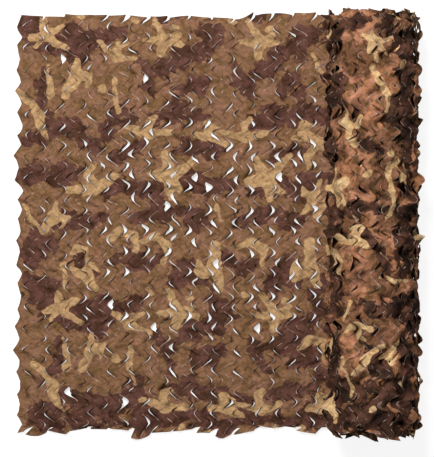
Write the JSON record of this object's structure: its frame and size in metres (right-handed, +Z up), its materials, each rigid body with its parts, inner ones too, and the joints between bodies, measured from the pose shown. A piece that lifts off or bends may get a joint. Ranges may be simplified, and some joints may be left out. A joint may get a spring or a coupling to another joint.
{
  "type": "camouflage netting, partly unrolled",
  "caption": "Length of die-cut camouflage netting in desert browns, its loose end laid flat and the rest wound in a roll.",
  "frame": {"origin": "centre of the footprint, on the surface that the net lies on", "axes": "+X from the free end towards the roll, +Y along the roll, across the cloth, +Z up"},
  "size_m": [1.4519, 1.51, 0.3334],
  "materials": {
    "printed_cloth": "matte woven polyester, printed in browns and tan"
  },
  "bodies": {
    "root": {"net": "printed_cloth"}
  },
  "joints": []
}
